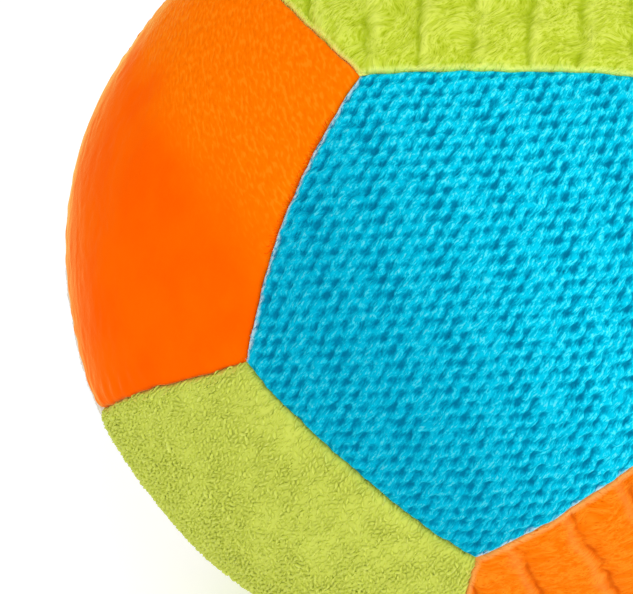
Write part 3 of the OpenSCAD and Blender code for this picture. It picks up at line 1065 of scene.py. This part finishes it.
def seam_stitches(panels):
    """The machine stitches at the bottom of every seam."""
    s, shape = scene().sewing_shape, scene().ball_shape
    seams = {}
    for panel in panels.values():
        for k in range(SIDES):
            a, b = panel.corners[k], panel.corners[(k + 1) % SIDES]
            seams.setdefault(frozenset((tuple(np.round(a, 6)), tuple(np.round(b, 6)))), (a, b))
    r = FACE_RADIUS + shape.face_drop - shape.seam_dip + s.lift
    blank = rod_blank(sides=6, cuts=3)
    x, y, z = bent(
        places(blank),
        lambda t: ((t - 0.5) * s.stitch, 0 * t, -0.25 * MM * (2 * t - 1) ** 4),
        lambda t: s.thick * (1 - 0.45 * (2 * np.clip(t, 0, 1) - 1) ** 4))
    rows = []
    for a, b in seams.values():
        normal = unit(np.cross(a, b))
        side = np.cross(normal, a)
        arc = math.acos(a @ b)
        run = arc * (1 - 2 * s.end_share) * r
        count = int(run / s.step)
        for i in range(count):
            angle = arc * s.end_share + (i + 0.5) * run / count / r + x / r
            out = r + z
            rows.append(settled((np.cos(angle) * out).T * a + (np.sin(angle) * out).T * side - y.T * normal))
    mesh = many(blank, len(rows))
    put(mesh, np.concatenate(rows))
    thread = fibres("seam_thread", s.teal, 0.6, (0.35 * MM, 2.0), 0.05 * MM, 0.6, 0.2)
    piece = finished("seam_stitches", mesh, thread, "sewing_thread")
    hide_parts("seam_thread")


def wad_of_fibre(node, material):
    """Loose stuffing in the space that its solid holds."""
    source = frame["nodes"][node]
    bm = bmesh.new()
    bm.from_mesh(source.data)
    bmesh.ops.remove_doubles(bm, verts=bm.verts[:], dist=0.01 * MM)
    rough = linked("rough", as_mesh(bm, "rough"))
    remesh = rough.modifiers.new("Even", "REMESH")
    remesh.mode = "VOXEL"
    remesh.voxel_size = 2.2 * MM
    bpy.context.view_layer.update()
    mesh = bpy.data.meshes.new_from_object(rough.evaluated_get(bpy.context.evaluated_depsgraph_get()))
    bpy.data.objects.remove(rough)
    co = places(mesh)
    normals = np.empty(len(co) * 3, np.float32)
    mesh.vertex_normals.foreach_get("vector", normals)
    depth = 0.7 * MM + uneven(co, (0.5, 6, 10), (0.2, 2.5, 0))
    put(mesh, co - normals.reshape(-1, 3) * depth[:, None])
    piece = finished(node + "_fibre", mesh, material, "fibre_filling")
    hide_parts(node)


def inside():
    """The stuffing, the rattle and the closing stitches."""
    s = scene().sewing_shape
    fibre = fibres("fibre", s.fibre, 0.8, (2.2 * MM, 5.0, 0.75), 0.6 * MM, 0.95, Sheen_Weight=0.4)
    for node in ("filling_lower", "filling_upper"):
        wad_of_fibre(node, fibre)
    bead = plastic("rattle_bead", s.bead, 0.2)
    dressed = {
        "closing_stitch": (fibres("closing_thread", s.lime, 0.7, (0.35 * MM, 2.0), 0.05 * MM, 0.7), "closing_thread"),
        "rattle_cup": (plastic("rattle_shell", s.shell, 0.45), "rattle_shell"),
        "rattle_lid": (plastic("rattle_cap", s.lid, 0.4), "rattle_cap"),
        **{f"rattle_bead_{k}": (bead, "rattle_bead") for k in (1, 2, 3)},
    }
    for node, (material, slot) in dressed.items():
        piece = frame["nodes"][node]
        piece.data.materials.clear()
        piece.data.materials.append(material)


def placed(place, x, y, z):
    """The matrix that puts an object at a place with its axes this way."""
    return Matrix.Translation(place) @ Matrix([x, y, z]).transposed().to_4x4()


def aim_camera(stage):
    """A camera where the photograph's stood."""
    a, e = stage.azimuth, stage.elevation
    out = np.array([math.sin(a) * math.cos(e), -math.cos(a) * math.cos(e), math.sin(e)])
    right = unit(np.cross(-out, UP))
    up = np.cross(right, -out)
    tilted = math.cos(stage.roll) * right + math.sin(stage.roll) * up
    upright = math.cos(stage.roll) * up - math.sin(stage.roll) * right
    forward = unit(-out + math.tan(stage.aim_across) * tilted + math.tan(stage.aim_up) * upright)
    across = unit(np.cross(forward, upright))
    above = np.cross(across, forward)
    data = bpy.data.cameras.new("camera")
    data.sensor_width = 36
    data.lens = data.sensor_width * stage.focal_pixels / PHOTO_WIDTH
    data.clip_start = 0.01
    camera = linked("camera", data)
    camera.matrix_world = placed(CENTRE + out * stage.distance, across, above, -forward)
    scene().camera = camera
    return camera


def soft_light(name, place, size, power, tint):
    """A square light that faces the ball."""
    data = bpy.data.lights.new(name, "AREA")
    data.size = size
    data.energy = power
    data.color = tint
    lamp = linked(name, data)
    out = unit(np.array(place) - CENTRE)
    side = unit(np.cross(UP, out))
    lamp.matrix_world = placed(place, side, np.cross(out, side), out)
    return lamp


def white_room(strength):
    """An even white light from all round, and plain white behind the object."""
    world = bpy.data.worlds.new("room")
    scene().world = world
    f = Finish(world)
    seen = f.node("ShaderNodeLightPath", {}, {}, "Is Camera Ray")
    shade, white = (
        f.node("ShaderNodeBackground", {}, {"Color": WHITE, "Strength": power}) for power in (strength, 1.0))
    both = f.node("ShaderNodeMixShader", {}, {0: seen, 1: shade, 2: white})
    f.node("ShaderNodeOutputWorld", {}, {"Surface": both})


class MakeBall:
    """What every step of the ball shares."""

    bl_options = {"REGISTER", "UNDO"}

    def execute(self, context):
        """Makes the pieces and stops with an error where none came."""
        before = len(scene().objects)
        self.make(ball_panels())
        if len(scene().objects) == before:
            raise RuntimeError(f"{self.bl_label} made nothing")
        return {"FINISHED"}


class MakeKnit(MakeBall, bpy.types.Operator):
    """Makes the two knitted panels."""

    bl_idname = "sensory_ball.knit"
    bl_label = "Knitted Panels"

    def make(self, panels):
        knit_panel(panels["knit_panel_front"], frayed=(1, 3, 4))
        knit_panel(panels["knit_panel_back"], frayed=(0, 1, 3))


class MakeTerry(MakeBall, bpy.types.Operator):
    """Makes the two terry panels."""

    bl_idname = "sensory_ball.terry"
    bl_label = "Terry Panels"

    def make(self, panels):
        for node in ("terry_panel_low_left", "terry_panel_high_right"):
            terry_panel(panels[node])


class MakeRibs(MakeBall, bpy.types.Operator):
    """Makes the four ribbed plush panels."""

    bl_idname = "sensory_ball.ribs"
    bl_label = "Ribbed Panels"

    def make(self, panels):
        for node in ("lime_rib_panel_top", "lime_rib_panel_bottom"):
            rib_panel(panels[node], scene().lime_ribs, "lime_rib_plush", lean=1)
        for node in ("orange_rib_panel_low_right", "orange_rib_panel_high_left"):
            rib_panel(panels[node], scene().orange_ribs, "orange_rib_plush", lean=-1)


class MakeVelour(MakeBall, bpy.types.Operator):
    """Makes the two velour panels."""

    bl_idname = "sensory_ball.velour"
    bl_label = "Velour Panels"

    def make(self, panels):
        for node in ("velour_panel_left", "velour_panel_right"):
            velour_panel(panels[node])


class MakePlush(MakeBall, bpy.types.Operator):
    """Makes the two pale plush panels."""

    bl_idname = "sensory_ball.plush"
    bl_label = "Plush Panels"

    def make(self, panels):
        for node in ("plush_panel_right", "plush_panel_left"):
            plush_panel(panels[node])


class MakeSeams(MakeBall, bpy.types.Operator):
    """Sews the seams."""

    bl_idname = "sensory_ball.seams"
    bl_label = "Seams"

    def make(self, panels):
        seam_stitches(panels)


class MakeInside(MakeBall, bpy.types.Operator):
    """Fills the ball and finishes its rattle."""

    bl_idname = "sensory_ball.inside"
    bl_label = "Filling and Rattle"

    def make(self, panels):
        inside()


class MakeStage(MakeBall, bpy.types.Operator):
    """Sets the floor, the light and the camera."""

    bl_idname = "sensory_ball.stage"
    bl_label = "Stage"

    def make(self, panels):
        s = scene().stage_shape
        half_width, grey, glow = 3.0, 0.75, 0.44
        bm = bmesh.new()
        bmesh.ops.create_grid(bm, x_segments=1, y_segments=1, size=half_width)
        floor = linked("floor", as_mesh(bm, "floor", outwards=False))
        floor.data.materials.append(new_finish("floor").surface(
            Base_Color=dimmed(WHITE, grey), Roughness=0.9, Specular_IOR_Level=0.0,
            Emission_Color=WHITE, Emission_Strength=glow))
        white_room(s.sky)
        key = soft_light("key", (0.12, -0.65, 0.8), 0.5, s.key, (1.0, 0.99, 0.97))
        fill = soft_light("fill", (0.6, -0.6, 0.5), 0.6, s.fill, (0.97, 0.98, 1.0))
        aim_camera(s)
        scene().view_settings.view_transform = "Standard"


class BallPanel(bpy.types.Panel):
    """The sizes and colours of the ball, and a button for each step."""

    bl_idname = "VIEW3D_PT_sensory_ball"
    bl_label = "Sensory Ball"
    bl_space_type = "VIEW_3D"
    bl_region_type = "UI"
    bl_category = "Sensory Ball"

    def draw(self, context):
        for name, group in GROUPS.items():
            box = self.layout.box()
            box.label(text=group.__name__)
            for key in group.__annotations__:
                box.prop(getattr(context.scene, name), key)
        for step in STEPS:
            self.layout.operator(step.bl_idname)


GROUPS = {
    "ball_shape": BallShape,
    "knit_cloth": KnitCloth,
    "terry_cloth": TerryCloth,
    "lime_ribs": LimeRibs,
    "orange_ribs": OrangeRibs,
    "pile_cloth": PileCloth,
    "sewing_shape": SewingShape,
    "stage_shape": StageShape,
}
STEPS = (MakeStage, MakeKnit, MakeTerry, MakeRibs, MakeVelour, MakePlush, MakeSeams, MakeInside)


def register():
    """Makes the sizes, the steps and the panel known to Blender."""
    for name, group in GROUPS.items():
        bpy.utils.register_class(group)
        setattr(bpy.types.Scene, name, PointerProperty(type=group))
    for made in (*STEPS, BallPanel):
        bpy.utils.register_class(made)


def unregister():
    """Takes them away again."""
    for made in (BallPanel, *reversed(STEPS)):
        bpy.utils.unregister_class(made)
    for name, group in reversed(GROUPS.items()):
        delattr(bpy.types.Scene, name)
        bpy.utils.unregister_class(group)


def main():
    """Runs every step and writes the object's size."""
    register()
    for step in STEPS:
        family, name = step.bl_idname.split(".")
        getattr(getattr(bpy.ops, family), name)()


if __name__ == "__main__":
    main()
